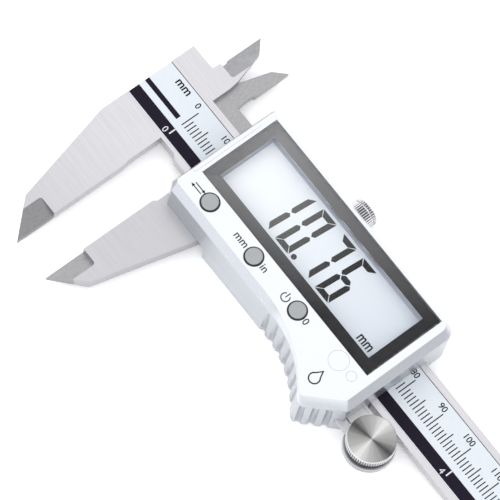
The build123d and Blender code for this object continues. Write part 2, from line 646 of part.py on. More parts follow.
with BuildPart() as battery_contact_top:
    block((BATTERY_XY[0] - 2, BATTERY_XY[0] + 2), (-16.5, -6.6), (BATTERY_Z[1], BATTERY_Z[1] + 0.2))
    block((BATTERY_XY[0] - 2, BATTERY_XY[0] + 2), (-6.8, -6.6), (BATTERY_Z[1], BOARD_Z[0]))
battery_contact_top.part.label = "battery_contact_top"
export_step(battery_contact_top.part, "parts/battery_contact_top.step")

with BuildPart() as battery_contact_side:
    side_x = BATTERY_XY[0] - BATTERY_R
    block((side_x - 0.25, side_x), (-15.5, -12.9), (-3.0, 2.9))
battery_contact_side.part.label = "battery_contact_side"
export_step(battery_contact_side.part, "parts/battery_contact_side.step")

SEAL_R = 5.5
DOOR_TOP = BACK_Z + 1.1
with BuildPart() as battery_cover:
    post(BATTERY_XY, DOOR_R, (BACK_Z, DOOR_TOP))
    with BuildSketch(level(BACK_Z + 0.85)) as lugs:
        with Locations(BATTERY_XY):
            Circle(LUG_R)
        with Locations(BATTERY_XY):
            Rectangle(2 * LUG_R + 1, 3.0, mode=Mode.INTERSECT)
    extrude(lugs.sketch, amount=0.4)
    # groove for the seal, and the coin slot
    with BuildSketch(level(BACK_Z + 0.3)) as seal_groove:
        with Locations(BATTERY_XY):
            Circle(DOOR_R + 1)
            Circle(SEAL_R, mode=Mode.SUBTRACT)
    extrude(seal_groove.sketch, amount=0.4, mode=Mode.SUBTRACT)
    with BuildSketch(level(BACK_Z - 1)) as coin_slot:
        with Locations(BATTERY_XY):
            SlotOverall(9.0, 1.4)
    extrude(coin_slot.sketch, amount=1.25, mode=Mode.SUBTRACT)
battery_cover.part.label = "battery_cover"
export_step(battery_cover.part, "parts/battery_cover.step")

with BuildPart() as battery_cover_seal:
    post(BATTERY_XY, DOOR_R - 0.01, (BACK_Z + 0.32, BACK_Z + 0.68))
    post(BATTERY_XY, SEAL_R, (BACK_Z, BACK_Z + 1), mode=Mode.SUBTRACT)
battery_cover_seal.part.label = "battery_cover_seal"
export_step(battery_cover_seal.part, "parts/battery_cover_seal.step")

# --- Wipers --------------------------------------------------------------------------------
for name, x in {"wiper_left": (10.95, 12.85), "wiper_right": (76.75, 77.9)}.items():
    with BuildPart() as wiper:
        block(x, (-7.9, 7.9), (0.03, 0.11))
    wiper.part.label = name
    export_step(wiper.part, f"parts/{name}.step")

# --- Lock screw and its pad ----------------------------------------------------------------
PAD_Y = (BEAM_HALF + 0.25, BEAM_HALF + 1.6)
with BuildPart() as lock_pad:
    bar_y(LOCK_X, MID_Z, 1.22, PAD_Y)
lock_pad.part.label = "lock_pad"
export_step(lock_pad.part, "parts/lock_pad.step")

RIDGES = 34
with BuildPart() as lock_screw:
    bar_y(LOCK_X, MID_Z, KNOB_R, KNOB_Y)
    chamfer(lock_screw.edges().filter_by(GeomType.CIRCLE).sort_by(Axis.Y)[-1], 0.3)
    for count in range(RIDGES):
        angle = 2 * pi * count / RIDGES
        bar_y(
            LOCK_X + (KNOB_R + 0.05) * cos(angle),
            MID_Z + (KNOB_R + 0.05) * sin(angle),
            0.22,
            (KNOB_Y[0] - 1, KNOB_Y[1] + 1),
            mode=Mode.SUBTRACT,
        )
    bar_y(LOCK_X, MID_Z, 1.25, (PAD_Y[1], KNOB_Y[0] + 1))
lock_screw.part.label = "lock_screw"
export_step(lock_screw.part, "parts/lock_screw.step")

# --- Thumb roller --------------------------------------------------------------------------
with BuildPart() as roller_bracket:
    with BuildSketch(level(BRACKET_Z[0])) as plate_sketch:
        with BuildLine():
            Polyline((74.8, BRACKET_Y), (88.6, BRACKET_Y), (88.6, -9.5), (74.8, -9.5), close=True)
        make_face()
        fillet(plate_sketch.vertices().group_by(Axis.X)[-1], 2.2)
    extrude(plate_sketch.sketch, amount=BRACKET_Z[1] - BRACKET_Z[0])
    post(WHEEL_XY, STEM_R + FIT, (-2, 2), mode=Mode.SUBTRACT)
    for spot in BRACKET_SCREWS:
        post(spot, 0.65, (-2, 2), mode=Mode.SUBTRACT)
roller_bracket.part.label = "roller_bracket"
export_step(roller_bracket.part, "parts/roller_bracket.step")

with BuildPart() as roller_bracket_screws:
    for spot in BRACKET_SCREWS:
        post(spot, 0.85, (BRACKET_Z[0] - 0.6, BRACKET_Z[0]))
        post(spot, 0.58, (BRACKET_Z[0], BRACKET_Z[1] + 3.0))
roller_bracket_screws.part.label = "roller_bracket_screws"
export_step(roller_bracket_screws.part, "parts/roller_bracket_screws.step")

WHEEL_SCREW_R = 0.85
with BuildPart() as roller_knob:
    post(WHEEL_XY, DISC_R, DISC_Z)
    chamfer(roller_knob.edges().filter_by(GeomType.CIRCLE), 0.25)
    post(WHEEL_XY, STEM_R, (WHEEL_Z[1], DISC_Z[0]))
    post(WHEEL_XY, WHEEL_SCREW_R, (WHEEL_Z[1] - 1, DISC_Z[0]), mode=Mode.SUBTRACT)
roller_knob.part.label = "roller_knob"
export_step(roller_knob.part, "parts/roller_knob.step")

with BuildPart() as drive_wheel:
    post(WHEEL_XY, WHEEL_R, WHEEL_Z)
    chamfer(drive_wheel.edges().filter_by(GeomType.CIRCLE), 0.15)
    post(WHEEL_XY, WHEEL_SCREW_R + 0.02, (WHEEL_Z[0] - 1, 0), mode=Mode.SUBTRACT)
    post(WHEEL_XY, 1.9, (WHEEL_Z[0] - 1, WHEEL_Z[0] + 0.7), mode=Mode.SUBTRACT)
drive_wheel.part.label = "drive_wheel"
export_step(drive_wheel.part, "parts/drive_wheel.step")

with BuildPart() as roller_screw:
    post(WHEEL_XY, 1.8, (WHEEL_Z[0] + 0.1, WHEEL_Z[0] + 0.7))
    post(WHEEL_XY, WHEEL_SCREW_R - 0.02, (WHEEL_Z[0] + 0.7, DISC_Z[0] - 0.1))
    block(
        (WHEEL_XY[0] - 2, WHEEL_XY[0] + 2),
        (WHEEL_XY[1] - 0.25, WHEEL_XY[1] + 0.25),
        (WHEEL_Z[0] - 1, WHEEL_Z[0] + 0.4),
        mode=Mode.SUBTRACT,
    )
roller_screw.part.label = "roller_screw"
export_step(roller_screw.part, "parts/roller_screw.step")
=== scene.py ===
"""The digital caliper's visual model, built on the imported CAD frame.

Places are given in the caliper's own datum, in millimetres: X = 0 is the fixed jaw's measuring
face, Y = 0 the beam's centre line and Z = 0 the beam's front face. at() turns them into metres in
the row frame.
"""

import math

import bpy
from mathutils import Matrix, Vector


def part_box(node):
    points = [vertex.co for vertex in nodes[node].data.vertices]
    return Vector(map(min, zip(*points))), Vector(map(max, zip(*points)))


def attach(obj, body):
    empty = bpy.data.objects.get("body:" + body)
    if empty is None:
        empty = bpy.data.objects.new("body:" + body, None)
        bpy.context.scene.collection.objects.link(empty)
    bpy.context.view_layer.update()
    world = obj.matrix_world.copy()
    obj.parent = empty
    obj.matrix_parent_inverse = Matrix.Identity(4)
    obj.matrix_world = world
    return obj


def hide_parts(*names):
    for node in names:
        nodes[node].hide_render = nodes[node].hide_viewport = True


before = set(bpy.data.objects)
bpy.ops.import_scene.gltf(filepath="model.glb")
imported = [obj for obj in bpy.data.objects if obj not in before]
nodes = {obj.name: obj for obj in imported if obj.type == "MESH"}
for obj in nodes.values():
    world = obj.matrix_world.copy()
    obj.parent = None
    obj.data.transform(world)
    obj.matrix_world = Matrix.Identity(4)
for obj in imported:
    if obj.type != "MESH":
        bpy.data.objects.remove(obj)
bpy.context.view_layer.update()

MM = 0.001
HEAD_LEFT = -13.9  # left end of the beam's head
JAW_TIP_Y = -48.6
beam_low, beam_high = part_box("main_beam")
DATUM = Vector((beam_low[0] - HEAD_LEFT * MM, beam_low[1] - JAW_TIP_Y * MM, beam_high[2]))


def at(x, y, z=0.0):
    """A datum point in millimetres as a row-frame point in metres."""
    return DATUM + Vector((x, y, z)) * MM


# --- Camera --------------------------------------------------------------------------------
CAMERA_AT = (225.804, -268.308, 857.177)
CAMERA_TARGET = (33.314, -7.574, 0.0)
CAMERA_ROLL = 0.95499  # radians about the line of sight
CAMERA_LENS = 290.18
CAMERA_SENSOR = 36.0
CAMERA_CLIP = (0.01, 20.0)

eye = at(*CAMERA_AT)
forward = (at(*CAMERA_TARGET) - eye).normalized()
level_right = forward.cross(Vector((0, 1, 0))).normalized()
level_up = level_right.cross(forward)
right = math.cos(CAMERA_ROLL) * level_right + math.sin(CAMERA_ROLL) * level_up
up = -math.sin(CAMERA_ROLL) * level_right + math.cos(CAMERA_ROLL) * level_up
camera_data = bpy.data.cameras.new("camera")
camera_data.lens = CAMERA_LENS
camera_data.sensor_width = CAMERA_SENSOR
camera_data.clip_start, camera_data.clip_end = CAMERA_CLIP
camera = bpy.data.objects.new("camera", camera_data)
camera.matrix_world = Matrix((
    (right.x, up.x, -forward.x, eye.x),
    (right.y, up.y, -forward.y, eye.y),
    (right.z, up.z, -forward.z, eye.z),
    (0, 0, 0, 1),
))
scene = bpy.context.scene
scene.collection.objects.link(camera)
scene.camera = camera
scene.view_settings.view_transform = "Standard"


# --- Materials -----------------------------------------------------------------------------
NOISE_ROUGHNESS = 0.55


class Shader:
    """A node material with a few short-hands."""

    def __init__(self, name, color, metallic=0.0, roughness=0.5, **sockets):
        self.material = bpy.data.materials.new(name)
        self.material.use_nodes = True
        self.tree = self.material.node_tree
        self.bsdf = self.tree.nodes["Principled BSDF"]
        self.color = (*color, 1.0)
        self.bsdf.inputs["Base Color"].default_value = self.color
        self.bsdf.inputs["Metallic"].default_value = metallic
        self.bsdf.inputs["Roughness"].default_value = roughness
        for socket, value in sockets.items():
            self.bsdf.inputs[socket.replace("_", " ")].default_value = value

    def node(self, kind, **settings):
        made = self.tree.nodes.new(kind)
        for key, value in settings.items():
            setattr(made, key, value)
        return made

    def link(self, source, target):
        self.tree.links.new(source, target)

    def datum(self):
        """Object coordinates in datum millimetres."""
        place = self.node("ShaderNodeTexCoord")
        shift = self.node("ShaderNodeVectorMath", operation="SUBTRACT")
        shift.inputs[1].default_value = DATUM
        scale = self.node("ShaderNodeVectorMath", operation="SCALE")
        scale.inputs["Scale"].default_value = 1 / MM
        self.link(place.outputs["Object"], shift.inputs[0])
        self.link(shift.outputs[0], scale.inputs[0])
        return scale.outputs[0]

    def axes(self, place):
        """The X, Y and Z sockets of a place."""
        split = self.node("ShaderNodeSeparateXYZ")
        self.link(place, split.inputs[0])
        return split.outputs

    def noise(self, frequency, detail=3.0, source=None):
        """Noise of so many cycles per millimetre along X, Y and Z."""
        stretch = self.node("ShaderNodeVectorMath", operation="MULTIPLY")
        stretch.inputs[1].default_value = frequency
        self.link(source or self.datum(), stretch.inputs[0])
        grain = self.node("ShaderNodeTexNoise")
        grain.inputs["Scale"].default_value = 1.0
        grain.inputs["Detail"].default_value = detail
        grain.inputs["Roughness"].default_value = NOISE_ROUGHNESS
        self.link(stretch.outputs[0], grain.inputs["Vector"])
        return grain.outputs["Fac"]

    def ramp(self, source, low, high, span=(0.3, 0.7)):
        """Map a factor's span to low..high, clamped."""
        mapped = self.node("ShaderNodeMapRange")
        mapped.inputs["From Min"].default_value = span[0]
        mapped.inputs["From Max"].default_value = span[1]
        mapped.inputs["To Min"].default_value = low
        mapped.inputs["To Max"].default_value = high
        self.link(source, mapped.inputs["Value"])
        return mapped.outputs["Result"]

    def math(self, operation, first, second):
        """A maths node on two sockets or numbers."""
        made = self.node("ShaderNodeMath", operation=operation)
        for slot, value in enumerate((first, second)):
            if isinstance(value, (int, float)):
                made.inputs[slot].default_value = value
            else:
                self.link(value, made.inputs[slot])
        return made.outputs[0]

    def average(self, first, second):
        """The mean of two factors."""
        halves = [self.math("MULTIPLY", factor, 0.5) for factor in (first, second)]
        return self.math("ADD", *halves)

    def mix(self, factor, first, second):
        """Mix two colours, given as tuples or sockets."""
        made = self.node("ShaderNodeMix", data_type="RGBA")
        for slot, value in ((0, factor), (6, first), (7, second)):
            if isinstance(value, tuple):
                made.inputs[slot].default_value = (*value[:3], 1.0)
            elif isinstance(value, (int, float)):
                made.inputs[slot].default_value = value
            else:
                self.link(value, made.inputs[slot])
        return made.outputs[2]

    def shade(self, source, spread, color=None):
        """Vary the base colour's brightness by plus or minus spread with a factor."""
        base = color or self.color
        dark = tuple(c * (1 - spread) for c in base[:3])
        light = tuple(min(1.0, c * (1 + spread)) for c in base[:3])
        return self.mix(source, dark, light)

    def set_color(self, source):
        self.link(source, self.bsdf.inputs["Base Color"])

    def set_roughness(self, source):
        self.link(source, self.bsdf.inputs["Roughness"])

    def bump(self, source, height_mm, strength=1.0):
        """Bump from a factor, whose full swing is so many millimetres high."""
        made = self.node("ShaderNodeBump")
        made.inputs["Distance"].default_value = height_mm * MM
        made.inputs["Strength"].default_value = strength
        self.link(source, made.inputs["Height"])
        self.link(made.outputs["Normal"], self.bsdf.inputs["Normal"])


def inside(shader, place, box):
    """1 inside a datum box ((x0, x1), (y0, y1), (z0, z1)), else 0. None leaves a side open."""
    axes = shader.axes(place)
    total = None
    for axis, sides in enumerate(box):
        for operation, value in zip(("GREATER_THAN", "LESS_THAN"), sides):
            if value is None:
                continue
            test = shader.math(operation, axes[axis], value)
            total = test if total is None else shader.math("MULTIPLY", total, test)
    return total


BRUSH = (0.05, 3.2, 3.2)  # cycles per millimetre of the coarse brushing
CROSS_BRUSH = (3.4, 0.9, 3.4)  # and of the faces ground across it
BRUSH_SPREAD = 0.075


def brushed_steel(name, color, roughness=0.32, zones=(), fade=None):
    """Brushed stainless steel.

    zones are (datum box, colour) pairs that were ground across the brushing; their darker colours
    are also painted shade on these recessed, sloping faces. fade is (y0, y1, brightness): painted
    shade, the colour falls to that brightness from y0 to y1.
    """
    steel = Shader(name, color, metallic=1.0, roughness=roughness)
    place = steel.datum()
    coarse = steel.noise(BRUSH, 2.0, place)
    fine = steel.noise(tuple(3.1 * f for f in BRUSH), 3.0, place)
    grain = steel.average(coarse, fine)
    streaks = steel.ramp(grain, 0.0, 1.0, (0.36, 0.64))
    tint = steel.shade(streaks, BRUSH_SPREAD)
    # painted shade: the colour darkens from y0 to y1
    if fade:
        y0, y1, brightness = fade
        reach = steel.ramp(steel.axes(place)[1], 1.0, 0.0, (y1, y0))
        far = tuple(c * brightness for c in color)
        tint = steel.mix(reach, tint, steel.shade(streaks, BRUSH_SPREAD, far))
    across = steel.noise(CROSS_BRUSH, 3.0, place)
    # the ground zones' darker colours are partly painted shade on the recessed, sloping faces
    for box, ground_and_shade_color in zones:
        ground = steel.shade(steel.ramp(across, 0.0, 1.0, (0.35, 0.65)), 0.08, ground_and_shade_color)
        tint = steel.mix(inside(steel, place, box), tint, ground)
    steel.set_color(tint)
    steel.set_roughness(steel.ramp(grain, roughness - 0.05, roughness + 0.07))
    steel.bump(grain, 0.004, 0.5)
    return steel.material


def plain(name, color, metallic=0.0, roughness=0.5, speckle=1.5, spread=0.05, height=0.004,
          **sockets):
    """A moulded, printed or plated finish with a fine grain.

    speckle is the grain in cycles per millimetre, spread its change of brightness, and height
    its bump in millimetres.
    """
    made = Shader(name, color, metallic, roughness, **sockets)
    grain = made.noise((speckle, speckle, speckle), 4.0)
    made.set_color(made.shade(made.ramp(grain, 0.0, 1.0), spread))
    made.set_roughness(made.ramp(grain, roughness - 0.04, min(1.0, roughness + 0.06)))
    made.bump(grain, height, 0.6)
    return made.material


# the measuring faces' knife edges: a datum box and the colour of its ground steel, whose darker
# tone is also painted shade on the recessed, sloping faces
FIXED_GROUND_AND_SHADE = [
    (((-5.0, 1.0), (None, -38.2), (-3.4, -0.02)), (0.215, 0.215, 0.22)),
    (((-6.9, -2.2), (15.2, None), (-1.7, -0.02)), (0.325, 0.325, 0.335)),
]
MOVING_GROUND_AND_SHADE = [
    (((10.0, 15.45), (None, -38.0), (-3.4, -1.0)), (0.275, 0.275, 0.28)),
    (((-1.2, 12.9), (8.0, None), (None, None)), (0.30, 0.30, 0.308)),
]
# the beam's steel gets painted shade: its fade darkens it towards the jaw tips
beam_steel = brushed_steel("beam_steel", (0.50, 0.492, 0.513), zones=FIXED_GROUND_AND_SHADE,
                           fade=(-12.0, -42.0, 0.86))
slider_steel = brushed_steel("slider_steel", (0.42, 0.414, 0.434), zones=MOVING_GROUND_AND_SHADE)
bracket_steel = brushed_steel("bracket_steel", (0.48, 0.48, 0.49), roughness=0.36)
screw_steel = plain("screw_steel", (0.4, 0.4, 0.41), 1.0, 0.3, speckle=3.0)
cell_steel = plain("cell_steel", (0.7, 0.7, 0.71), 1.0, 0.22, speckle=0.6)
brass = plain("machined_brass", (0.72, 0.52, 0.22), 1.0, 0.3, speckle=3.0)
rubber = plain("black_rubber", (0.02, 0.02, 0.022), 0.0, 0.65, speckle=4.0, spread=0.2)
silicone = plain("grey_silicone", (0.4, 0.41, 0.43), 0.0, 0.6, speckle=2.0)
board_green = plain("board_laminate", (0.03, 0.16, 0.07), 0.0, 0.35, speckle=2.0,
                    Coat_Weight=0.3)
inner_plastic = plain("inner_plastic", (0.05, 0.05, 0.055), 0.0, 0.5, speckle=3.0)
door_plastic = plain("door_plastic", (0.13, 0.135, 0.145), 0.0, 0.45, speckle=5.0,
                     height=0.01)
strip_laminate = plain("strip_laminate", (0.35, 0.25, 0.1), 0.0, 0.4, speckle=1.0)
bezel_grey = plain("bezel_grey", (0.42, 0.44, 0.5), 0.0, 0.5, speckle=2.0)
label_film = plain("label_film", (0.60, 0.64, 0.68), 0.0, 0.42, speckle=0.8, spread=0.015,
                   height=0.001, Specular_IOR_Level=0.2)
label_ink = plain("label_ink", (0.010, 0.007, 0.016), 0.0, 0.5, speckle=2.0, spread=0.2,
                  Specular_IOR_Level=0.08)
label_white = plain("label_white", (0.62, 0.60, 0.64), 0.0, 0.45, speckle=2.0)
legend_ink = plain("legend_ink", (0.03, 0.03, 0.033), 0.0, 0.5, speckle=2.0, spread=0.2,
                   Specular_IOR_Level=0.1)

# painted shade: the case's walls take this darker colour below its face and bevels
WALL_SHADE_COLOR = (0.455, 0.475, 0.505)
WALL_TOP = (6.9, 7.3)  # the case's walls meet its bevels between these heights


def case_finish():
    """Satin silver-white metallised finish with a very fine flake, with painted shade that
    darkens the walls.
    """
    made = Shader("case_satin", (0.63, 0.645, 0.672), metallic=0.8, roughness=0.3,
                  Coat_Weight=0.2, Coat_Roughness=0.12)
    place = made.datum()
    flake = made.noise((9.0, 9.0, 9.0), 2.0, place)
    cloud = made.noise((0.05, 0.05, 0.05), 2.0, place)
    face = made.shade(made.ramp(made.average(flake, cloud), 0.0, 1.0), 0.02)
    above_wall = made.ramp(made.axes(place)[2], 0.0, 1.0, WALL_TOP)
    made.set_color(made.mix(above_wall, WALL_SHADE_COLOR, face))
    made.set_roughness(made.ramp(flake, 0.26, 0.34))
    made.bump(flake, 0.002, 0.4)
    return made.material


# where the window's painted reflections fade from light to dark: along a diagonal for the mask,
# else along X
MASK_SPAN = (8.0, 62.0)
DISPLAY_SPAN = (17.0, 71.0)
SEGMENT_SPAN = (30.0, 52.0)


def window_mask_finish():
    """Dark printed film, with a painted reflection that makes it lighter towards the jaws."""
    made = Shader("window_mask", (0.1, 0.1, 0.1), roughness=0.35, Specular_IOR_Level=0.1)
    place = made.datum()
    across, up, _ = made.axes(place)
    diagonal = made.math("SUBTRACT", across, made.math("MULTIPLY", up, 0.9))
    fade = made.ramp(diagonal, 0.0, 1.0, MASK_SPAN)
    grain = made.noise((6.0, 6.0, 6.0), 2.0, place)
    # painted reflection: the mask is lighter towards the jaws
    tone = made.mix(fade, (0.25, 0.25, 0.253), (0.024, 0.024, 0.026))
    made.set_color(made.mix(made.ramp(grain, 0.0, 0.05), tone, (0.09, 0.09, 0.092)))
    return made.material


def display_finish():
    """Pale grey-blue reflective display, with a painted reflection that is lighter towards the
    jaws and greyer towards the tail.
    """
    made = Shader("display_glass", (0.75, 0.79, 0.83), roughness=0.3)
    place = made.datum()
    fade = made.ramp(made.axes(place)[0], 0.0, 1.0, DISPLAY_SPAN)
    grain = made.noise((7.0, 7.0, 7.0), 2.0, place)
    # painted reflection: lighter towards the jaws, greyer towards the tail
    tone = made.mix(fade, (0.93, 0.96, 0.99), (0.68, 0.735, 0.80))
    made.set_color(made.mix(made.ramp(grain, 0.0, 0.06), tone, (0.6, 0.64, 0.68)))
    made.bump(grain, 0.001, 0.3)
    return made.material


def segment_finish():
    """Dark display segments, with a painted reflection that makes them paler towards the jaws as
    the display's glass is.
    """
    made = Shader("segment_ink", (0.05, 0.05, 0.05), roughness=0.5, Specular_IOR_Level=0.1)
    place = made.datum()
    fade = made.ramp(made.axes(place)[0], 0.0, 1.0, SEGMENT_SPAN)
    grain = made.noise((7.0, 7.0, 7.0), 2.0, place)
    # painted reflection: the segments are paler towards the jaws
    tone = made.mix(fade, (0.165, 0.166, 0.162), (0.026, 0.027, 0.027))
    made.set_color(made.mix(made.ramp(grain, 0.0, 0.1), tone, (0.1, 0.1, 0.1)))
    return made.material


def lens_finish():
    """Clear window: nearly all light passes, and its surface keeps a gloss."""
    made = Shader("lens_clear", (0.02, 0.02, 0.022), roughness=0.04, Alpha=0.06)
    grain = made.noise((0.3, 0.3, 0.3), 2.0)
    made.set_roughness(made.ramp(grain, 0.03, 0.07))
    made.material.blend_method = "BLEND"
    return made.material


def cap_finish():
    """Metallised button cap, brushed in one direction."""
    made = Shader("button_cap", (0.30, 0.312, 0.318), metallic=0.9, roughness=0.34)
    grain = made.noise((0.4, 8.0, 8.0), 3.0)
    made.set_color(made.shade(made.ramp(grain, 0.0, 1.0), 0.06))
    made.bump(grain, 0.003, 0.5)
    return made.material


ROLLER = (85.57, -14.3)  # the thumb roller's axis
# tones of the painted highlight and painted shade wedges on the roller's front
SPUN_HIGHLIGHT_TONES = [(0.0, 0.055), (0.03, 0.13), (0.22, 0.25), (0.72, 0.33), (0.95, 0.45), (1.0, 0.57)]
SPUN_BRIGHT = math.radians(102)  # the painted highlight's bright wedges lie about +Y and -Y
SPUN_SMEAR = 0.22  # how far the rings shift the painted wedges' tones


def fill_ramp(ramp, stops):
    """Give a colour ramp node its (position, colour) stops."""
    elements = ramp.color_ramp.elements
    while len(elements) < len(stops):
        elements.new(0.5)
    for element, (position, color) in zip(elements, stops):
        element.position = position
        element.color = (*color, 1.0)


def spun_finish(name, centre):
    """Turned steel: fine rings about an axis, with a painted highlight and painted shade as a
    bright and a dark pair of wedges.
    """
    made = Shader(name, (0.4, 0.4, 0.4), metallic=1.0, roughness=0.36, Anisotropic=0.8)
    place = made.datum()
    offset = made.node("ShaderNodeVectorMath", operation="SUBTRACT")
    offset.inputs[1].default_value = (*centre, 0.0)
    made.link(place, offset.inputs[0])
    flat = made.node("ShaderNodeVectorMath", operation="MULTIPLY")
    flat.inputs[1].default_value = (1.0, 1.0, 0.0)
    made.link(offset.outputs[0], flat.inputs[0])
    reach = made.node("ShaderNodeVectorMath", operation="LENGTH")
    made.link(flat.outputs[0], reach.inputs[0])
    ring = made.node("ShaderNodeCombineXYZ")
    made.link(reach.outputs["Value"], ring.inputs[0])
    grain = made.noise((9.0, 9.0, 9.0), 3.0, ring.outputs[0])
    outward = made.node("ShaderNodeVectorMath", operation="NORMALIZE")
    made.link(flat.outputs[0], outward.inputs[0])
    aim = made.node("ShaderNodeVectorMath", operation="DOT_PRODUCT")
    aim.inputs[1].default_value = (math.cos(SPUN_BRIGHT), math.sin(SPUN_BRIGHT), 0.0)
    made.link(outward.outputs[0], aim.inputs[0])
    wedge = made.math("POWER", made.math("ABSOLUTE", aim.outputs["Value"], 0.0), 2.0)
    smear = made.math("MULTIPLY", made.math("SUBTRACT", grain, 0.5), SPUN_SMEAR)
    tones = made.node("ShaderNodeValToRGB")
    tones.color_ramp.interpolation = "EASE"
    fill_ramp(tones, [(spot, (tone, tone * 0.995, tone * 0.985)) for spot, tone in SPUN_HIGHLIGHT_TONES])
    made.link(made.math("ADD", wedge, smear), tones.inputs[0])
    made.set_color(tones.outputs[0])
    made.bump(grain, 0.006, 0.5)
    around = made.node("ShaderNodeVectorMath", operation="CROSS_PRODUCT")
    around.inputs[1].default_value = (0.0, 0.0, 1.0)
    made.link(outward.outputs[0], around.inputs[0])
    made.link(around.outputs[0], made.bsdf.inputs["Tangent"])
    return made.material


case_satin = case_finish()
segment_ink = segment_finish()
spun_steel_and_highlight = spun_finish("spun_steel_and_highlight", ROLLER)
knurl_steel = plain("knurl_steel", (0.72, 0.72, 0.73), 1.0, 0.24, speckle=4.0)
# painted shade for the knurls' grooves
groove_shade_steel = plain("groove_shade_steel", (0.15, 0.15, 0.155), 1.0, 0.4, speckle=4.0)
neck_steel = plain("neck_steel", (0.26, 0.26, 0.265), 1.0, 0.4, speckle=4.0)

MATERIAL_OF = {
    beam_steel: ["main_beam", "depth_rod", "end_stop"],
    slider_steel: ["slider_frame", "rod_clamp"],
    bracket_steel: ["roller_bracket"],
    screw_steel: ["end_stop_screws", "gib_screws", "rod_clamp_screws", "case_screws",
                  "roller_bracket_screws", "roller_screw"],
    case_satin: ["front_cover", "rear_cover", "port_plugs"],
    lens_finish(): ["window_lens"],
    window_mask_finish(): ["window_mask"],
    bezel_grey: ["lcd_bezel"],
    display_finish(): ["lcd_panel"],
    cap_finish(): ["button_function", "button_unit", "button_zero"],
    rubber: ["button_seals", "display_seal", "lcd_connectors", "battery_cover_seal",
             "wiper_left", "wiper_right"],
    silicone: ["button_pad"],
    board_green: ["circuit_board", "sensor_board"],
    inner_plastic: ["base_plate", "board_connector", "sensor_chip", "tact_switches"],
    door_plastic: ["battery_cover"],
    cell_steel: ["battery"],
    brass: ["battery_contact_top", "battery_contact_side", "gib_strip", "lock_pad"],
    strip_laminate: ["scale_plate"],
    label_film: ["scale_label"],
    knurl_steel: ["lock_screw", "roller_knob", "drive_wheel"],
}
for finish, members in MATERIAL_OF.items():
    for member in members:
        nodes[member].data.materials.clear()
        nodes[member].data.materials.append(finish)


# --- Broken edges --------------------------------------------------------------------------
WELD_MM = 0.002
SHARP_ANGLE = math.radians(32)
BROKEN_EDGES = {  # the bevel's width in millimetres
    0.16: ["main_beam", "slider_frame", "depth_rod", "end_stop", "rod_clamp", "roller_bracket"],
    0.1: ["front_cover", "rear_cover", "lock_pad", "gib_strip", "battery_cover"],
    0.18: ["button_function", "button_unit", "button_zero"],
    0.05: ["lcd_bezel", "lcd_panel", "circuit_board", "base_plate"],
}
for width, members in BROKEN_EDGES.items():
    for member in members:
        weld = nodes[member].modifiers.new("weld", "WELD")
        weld.merge_threshold = WELD_MM * MM
        bevel = nodes[member].modifiers.new("broken_edge", "BEVEL")
        bevel.width = width * MM
        bevel.segments = 2
        bevel.limit_method = "ANGLE"
        bevel.angle_limit = SHARP_ANGLE
        bevel.harden_normals = True


# --- Mesh helpers --------------------------------------------------------------------------
def add_piece(name, mesh, material, body):
    """An object of a mesh in the row frame, which rides on a body."""
    mesh.materials.append(material)
    piece = bpy.data.objects.new(name, mesh)
    scene.collection.objects.link(piece)
    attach(piece, body)
    return piece


def make_piece(name, vertices, faces, material, body):
    """A piece from its vertices and faces."""
    mesh = bpy.data.meshes.new(name)
    mesh.from_pydata([tuple(v) for v in vertices], [], faces)
    mesh.validate()
    mesh.update()
    return add_piece(name, mesh, material, body)


def round_points(centre, polar):
    """Datum points from (radius, angle in radians) pairs about a centre."""
    return [(centre[0] + r * math.cos(t), centre[1] + r * math.sin(t)) for r, t in polar]


class Print:
    """Gathers flat inked shapes of one colour into one thin closed mesh."""

    THICKNESS = 0.012

    def __init__(self, height):
        self.height = height
        self.vertices = []
        self.faces = []

    def polygon(self, points):
        """A convex or simple polygon, counter-clockwise, in datum millimetres."""
        start = len(self.vertices)
        count = len(points)
        for z in (self.height, self.height + self.THICKNESS):
            self.vertices += [at(x, y, z) for x, y in points]
        self.faces.append([start + i for i in reversed(range(count))])
        self.faces.append([start + count + i for i in range(count)])
        for i in range(count):
            j = (i + 1) % count
            self.faces.append([start + i, start + j, start + count + j, start + count + i])

    def bar(self, x0, x1, y0, y1):
        self.polygon([(x0, y0), (x1, y0), (x1, y1), (x0, y1)])

    def arc(self, centre, radius, width, start, end, steps=24):
        """A stroke along an arc, angles in degrees."""
        for step in range(steps):
            a = math.radians(start + (end - start) * step / steps)
            b = math.radians(start + (end - start) * (step + 1) / steps)
            inner, outer = radius - width / 2, radius + width / 2
            self.polygon(round_points(centre, [(inner, a), (outer, a), (outer, b), (inner, b)]))

    def dot(self, centre, radius, steps=24):
        turns = [(radius, 2 * math.pi * i / steps) for i in range(steps)]
        self.polygon(round_points(centre, turns))

    def finish(self, name, material, body, slot):
        return make_piece(name, self.vertices, self.faces, material, body)


def lettering(name, words, box, height, material, body, right=None, bold=0.0, wide=None):
    """Text as a thin mesh.

    box is (left, baseline, letter height). right sets the text's right edge instead of its
    left, and wide stretches it to that width.
    """
    curve = bpy.data.curves.new(name + "_text", "FONT")
    curve.body = words
    curve.offset = bold
    curve.extrude = 0.01
    source = bpy.data.objects.new(name + "_text", curve)
    scene.collection.objects.link(source)
    bpy.context.view_layer.update()
    evaluated = source.evaluated_get(bpy.context.evaluated_depsgraph_get())
    mesh = bpy.data.meshes.new_from_object(evaluated)
    bpy.data.objects.remove(source)
    low = [min(v.co[i] for v in mesh.vertices) for i in range(3)]
    high = [max(v.co[i] for v in mesh.vertices) for i in range(3)]
    left, base, tall = box
    size = tall / (high[1] - low[1])
    stretch = wide / (high[0] - low[0]) if wide else size
    if right is not None:
        left = right - (high[0] - low[0]) * stretch
    for vertex in mesh.vertices:
        x, y, z = vertex.co
        rise = height + (Print.THICKNESS if z > 0 else 0.0)
        vertex.co = at(left + (x - low[0]) * stretch, base + (y - low[1]) * size, rise)
    mesh.name = name
    mesh.materials.clear()
    return add_piece(name, mesh, material, body)


